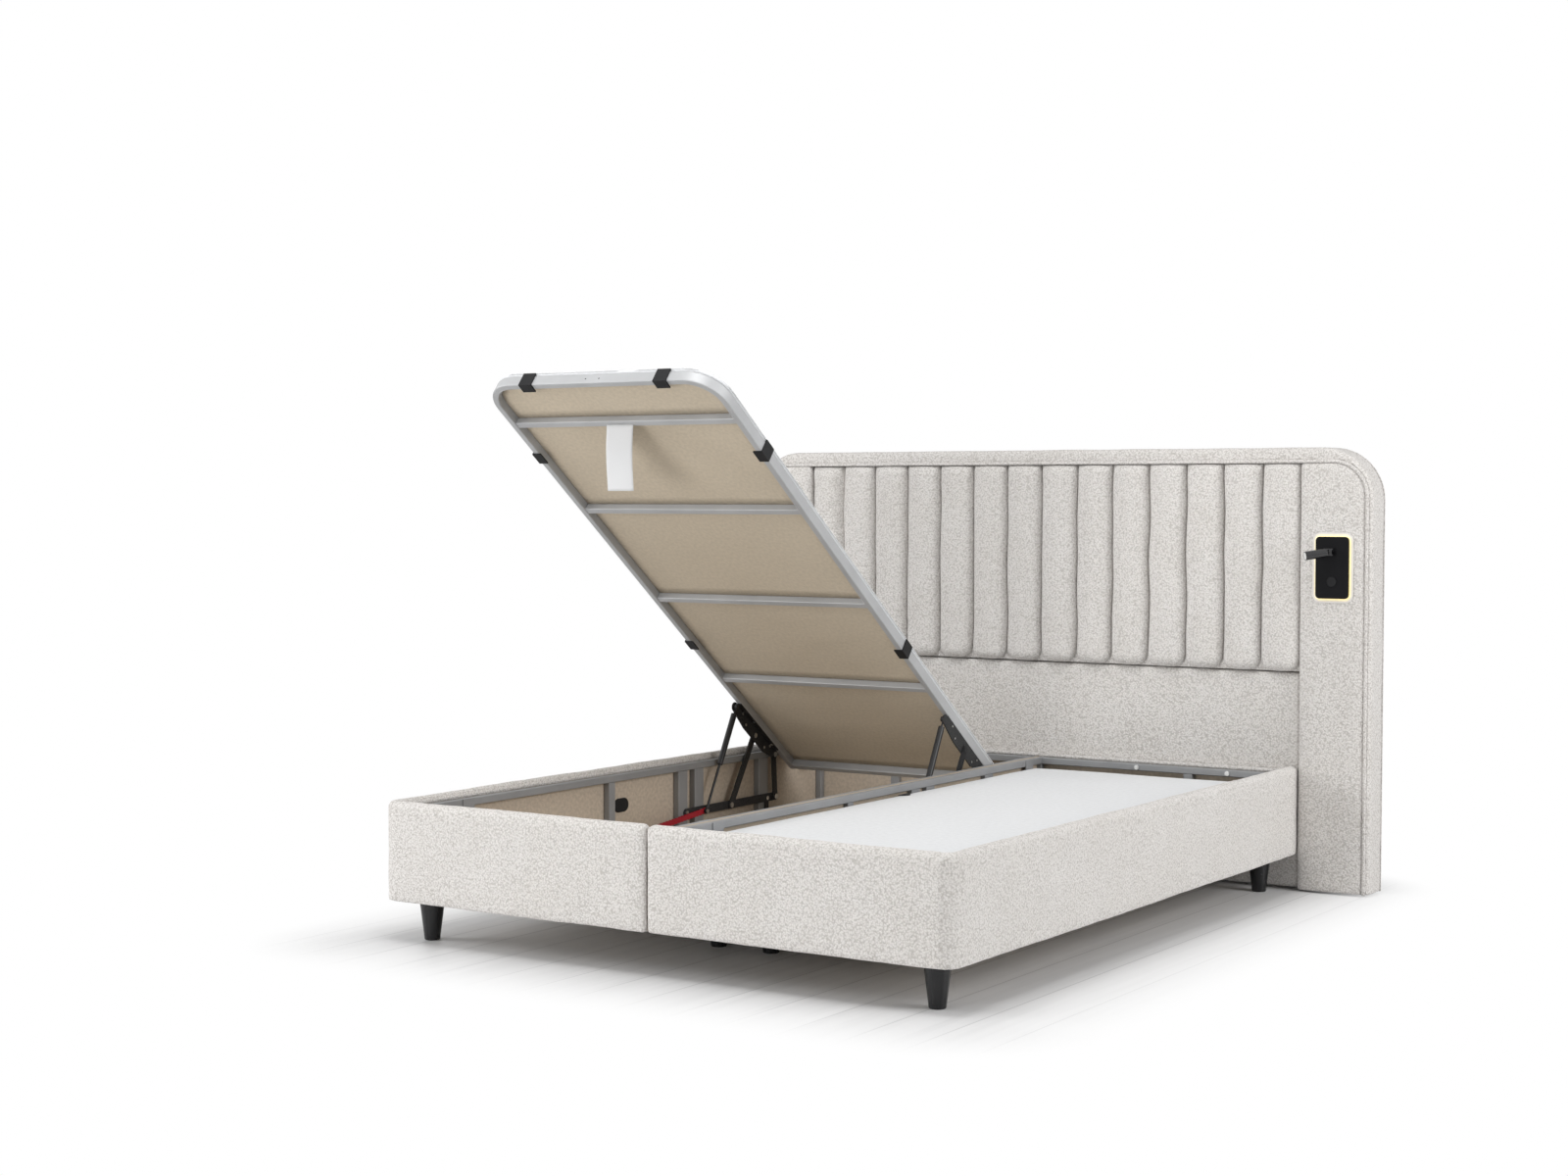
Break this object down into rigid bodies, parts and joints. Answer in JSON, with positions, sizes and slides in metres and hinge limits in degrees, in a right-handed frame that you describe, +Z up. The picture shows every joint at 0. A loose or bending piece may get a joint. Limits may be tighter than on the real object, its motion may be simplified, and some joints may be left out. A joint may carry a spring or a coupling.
{
  "type": "storage bed base with headboard",
  "caption": "Padded storage bed base in two halves, each with a gas-lift lid on a four-bar linkage, and a headboard with channels and reading lamps.",
  "frame": {"origin": "on the floor, in the middle of the bed's outline seen from above", "axes": "+Z up, +Y from the foot to the headboard, +X to the right for someone who stands at the foot"},
  "size_m": [2.07, 2.12, 1.4424],
  "materials": {
    "boucle": "off-white boucle weave",
    "head_cloth": "off-white boucle weave",
    "lining": "beige lining cloth",
    "board": "raw board",
    "lid_board": "board under beige lining cloth",
    "lid_cloth": "white fine weave over thin padding",
    "steel": "zinc grey tube",
    "black_steel": "black powder coat",
    "bolt_steel": "bright zinc",
    "gas_black": "smooth black",
    "red_plastic": "red",
    "clip_black": "black",
    "leg_black": "glossy black",
    "gloss_black": "glossy black",
    "light_guide": "warm white, lit",
    "lens": "white diffuser",
    "glide": "black",
    "piping_cloth": "off-white piping"
  },
  "bodies": {
    "base": {"rail_boards": "board", "foot_boards": "board", "rear_boards": "board", "divider_boards": "board", "wall_linings": "lining", "floor_boards": "board", "legs": "leg_black", "leg_plates": "steel", "lid_rests": "steel", "wall_caps": "clip_black", "lift_bars": "black_steel", "lift_bolts": "bolt_steel", "left_rail_cover": "boucle", "left_foot_cover": "boucle", "left_base_frame": "steel", "right_rail_cover": "boucle", "right_foot_cover": "boucle", "right_base_frame": "steel", "headboard_core": "board", "headboard_back": "head_cloth", "headboard_border": "head_cloth", "headboard_piping": "piping_cloth", "headboard_left_wing": "head_cloth", "headboard_right_wing": "head_cloth", "headboard_channels": "head_cloth", "headboard_lower_panel": "head_cloth", "headboard_glides": "glide", "headboard_bolts": "bolt_steel", "control_plates": "gloss_black", "light_guides": "light_guide", "lamp_stems": "gloss_black"},
    "left_rear_links": {"left_rear_links": "black_steel"},
    "left_lid": {"left_lid_frame": "steel", "left_lid_board": "lid_board", "left_lid_pad": "lid_cloth", "left_lid_clips": "clip_black", "left_lid_brackets": "black_steel", "left_lid_bolts": "bolt_steel"},
    "left_front_links": {"left_front_links": "black_steel"},
    "left_gas_rods": {"left_gas_rods": "gas_black"},
    "left_gas_cylinders": {"left_gas_cylinders": "gas_black"},
    "left_safety_arm": {"left_safety_arm": "red_plastic"},
    "left_lamp": {"left_lamp": "gloss_black", "left_lamp_lens": "lens"},
    "left_button": {"left_button": "gloss_black"},
    "right_rear_links": {"right_rear_links": "black_steel"},
    "right_lid": {"right_lid_frame": "steel", "right_lid_board": "lid_board", "right_lid_pad": "lid_cloth", "right_lid_clips": "clip_black", "right_lid_brackets": "black_steel", "right_lid_bolts": "bolt_steel"},
    "right_front_links": {"right_front_links": "black_steel"},
    "right_gas_rods": {"right_gas_rods": "gas_black"},
    "right_gas_cylinders": {"right_gas_cylinders": "gas_black"},
    "right_safety_arm": {"right_safety_arm": "red_plastic"},
    "right_lamp": {"right_lamp": "gloss_black", "right_lamp_lens": "lens"},
    "right_button": {"right_button": "gloss_black"}
  },
  "joints": [
    {"name": "left_rear_link_hinge", "type": "hinge", "parent": "base", "child": "left_rear_links", "pos_m": [-0.395, 0.6509, 0.1932], "axis": [1, 0, 0], "range_deg": [-65.6, 0]},
    {"name": "left_lid_hinge", "type": "hinge", "parent": "left_rear_links", "child": "left_lid", "pos_m": [-0.395, 0.64195, 0.32497], "axis": [1, 0, 0], "range_deg": [0, 102.99]},
    {"name": "left_front_link_hinge", "type": "hinge", "parent": "base", "child": "left_front_links", "pos_m": [-0.395, 0.4083, 0.192], "axis": [1, 0, 0], "range_deg": [-45.64, 0]},
    {"name": "left_gas_rod_hinge", "type": "hinge", "parent": "base", "child": "left_gas_rods", "pos_m": [-0.395, 0.2649, 0.1898], "axis": [1, 0, 0], "range_deg": [-46.84, 0]},
    {"name": "left_gas_slide", "type": "slide", "parent": "left_gas_rods", "child": "left_gas_cylinders", "axis": [0, 0.4656, 0.885], "range_m": [-0.10138, 0]},
    {"name": "left_safety_arm_hinge", "type": "hinge", "parent": "base", "child": "left_safety_arm", "pos_m": [-0.395, 0.2649, 0.1898], "axis": [1, 0, 0], "range_deg": [-18, 4]},
    {"name": "left_lamp_swivel", "type": "hinge", "parent": "base", "child": "left_lamp", "pos_m": [-0.925, 0.917, 0.972], "axis": [0, 0, 1], "range_deg": [-130, 40]},
    {"name": "left_button_press", "type": "slide", "parent": "base", "child": "left_button", "axis": [0, 1, 0], "range_m": [0, 0.0015], "stiffness_N_per_m": 400, "springref_m": -0.0005},
    {"name": "right_rear_link_hinge", "type": "hinge", "parent": "base", "child": "right_rear_links", "pos_m": [0.395, 0.6509, 0.1932], "axis": [1, 0, 0], "range_deg": [0, 65.6]},
    {"name": "right_lid_hinge", "type": "hinge", "parent": "right_rear_links", "child": "right_lid", "pos_m": [0.395, 0.7672, 0.2558], "axis": [1, 0, 0], "range_deg": [-102.99, 0]},
    {"name": "right_front_link_hinge", "type": "hinge", "parent": "base", "child": "right_front_links", "pos_m": [0.395, 0.4083, 0.192], "axis": [1, 0, 0], "range_deg": [0, 45.64]},
    {"name": "right_gas_rod_hinge", "type": "hinge", "parent": "base", "child": "right_gas_rods", "pos_m": [0.395, 0.2649, 0.1898], "axis": [1, 0, 0], "range_deg": [0, 46.84]},
    {"name": "right_gas_slide", "type": "slide", "parent": "right_gas_rods", "child": "right_gas_cylinders", "axis": [0, 0.964, 0.2657], "range_m": [0, 0.10138]},
    {"name": "right_safety_arm_hinge", "type": "hinge", "parent": "base", "child": "right_safety_arm", "pos_m": [0.395, 0.2649, 0.1898], "axis": [1, 0, 0], "range_deg": [-18, 4]},
    {"name": "right_lamp_swivel", "type": "hinge", "parent": "base", "child": "right_lamp", "pos_m": [0.925, 0.917, 0.972], "axis": [0, 0, 1], "range_deg": [-40, 130]},
    {"name": "right_button_press", "type": "slide", "parent": "base", "child": "right_button", "axis": [0, 1, 0], "range_m": [0, 0.0015], "stiffness_N_per_m": 400, "springref_m": -0.0005}
  ],
  "couplings": [
    {"joint": "left_rear_link_hinge", "follows": "left_lid_hinge", "ratio": -0.63686},
    {"joint": "left_front_link_hinge", "follows": "left_lid_hinge", "ratio": -0.44313},
    {"joint": "left_gas_rod_hinge", "follows": "left_lid_hinge", "ratio": -0.45478},
    {"joint": "left_gas_slide", "follows": "left_lid_hinge", "m_per_rad": -0.056394},
    {"joint": "right_rear_link_hinge", "follows": "right_lid_hinge", "ratio": -0.63686},
    {"joint": "right_front_link_hinge", "follows": "right_lid_hinge", "ratio": -0.44313},
    {"joint": "right_gas_rod_hinge", "follows": "right_lid_hinge", "ratio": -0.45478},
    {"joint": "right_gas_slide", "follows": "right_lid_hinge", "m_per_rad": -0.056394}
  ]
}
